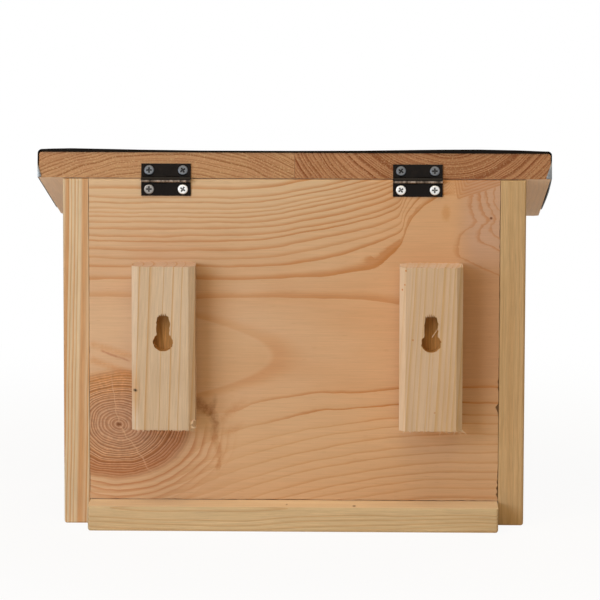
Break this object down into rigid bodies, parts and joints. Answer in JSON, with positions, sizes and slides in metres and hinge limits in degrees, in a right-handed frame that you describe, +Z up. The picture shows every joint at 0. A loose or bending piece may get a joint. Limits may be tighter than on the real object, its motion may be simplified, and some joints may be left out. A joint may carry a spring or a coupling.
{
  "type": "squirrel feeder",
  "caption": "Wall-hung wooden squirrel feeder box with a clear front pane, a seat platform and a hinged metal-covered roof that lifts to reach the food.",
  "frame": {"origin": "middle of the underside of the floor board, on the surface that it stands on", "axes": "+Z up, +Y towards the wall that it hangs on, the clear front faces -Y, +X to the right seen from the front"},
  "size_m": [0.3122, 0.245, 0.228],
  "materials": {
    "pine_side": "planed, unfinished",
    "pine_back": "planed, unfinished",
    "pine_floor": "planed, unfinished",
    "pine_block": "planed, sawn ends",
    "pine_roof": "planed, sawn end grain",
    "clear_pane": "clear acrylic",
    "coated_sheet": "satin coated",
    "black_hinge": "satin black",
    "screw_steel": "zinc plated"
  },
  "bodies": {
    "box": {"left_side": "pine_side", "right_side": "pine_side", "back_panel": "pine_back", "floor_board": "pine_floor", "left_hanger_block": "pine_block", "right_hanger_block": "pine_block", "front_pane": "clear_pane", "left_hinge_box_leaf": "black_hinge", "left_hinge_pin": "black_hinge", "right_hinge_box_leaf": "black_hinge", "right_hinge_pin": "black_hinge", "left_side_screws": "screw_steel", "right_side_screws": "screw_steel", "left_hanger_screws": "screw_steel", "right_hanger_screws": "screw_steel", "left_hinge_box_screws": "screw_steel", "right_hinge_box_screws": "screw_steel"},
    "roof": {"left_roof_board": "pine_roof", "right_roof_board": "pine_roof", "roof_sheet": "coated_sheet", "roof_nails": "coated_sheet", "left_hinge_roof_leaf": "black_hinge", "right_hinge_roof_leaf": "black_hinge", "left_hinge_roof_screws": "screw_steel", "right_hinge_roof_screws": "screw_steel"}
  },
  "joints": [
    {"name": "roof_hinge", "type": "hinge", "parent": "box", "child": "roof", "pos_m": [0, 0.0999, 0.2113], "axis": [-1, 0, 0], "range_deg": [0, 103]}
  ]
}
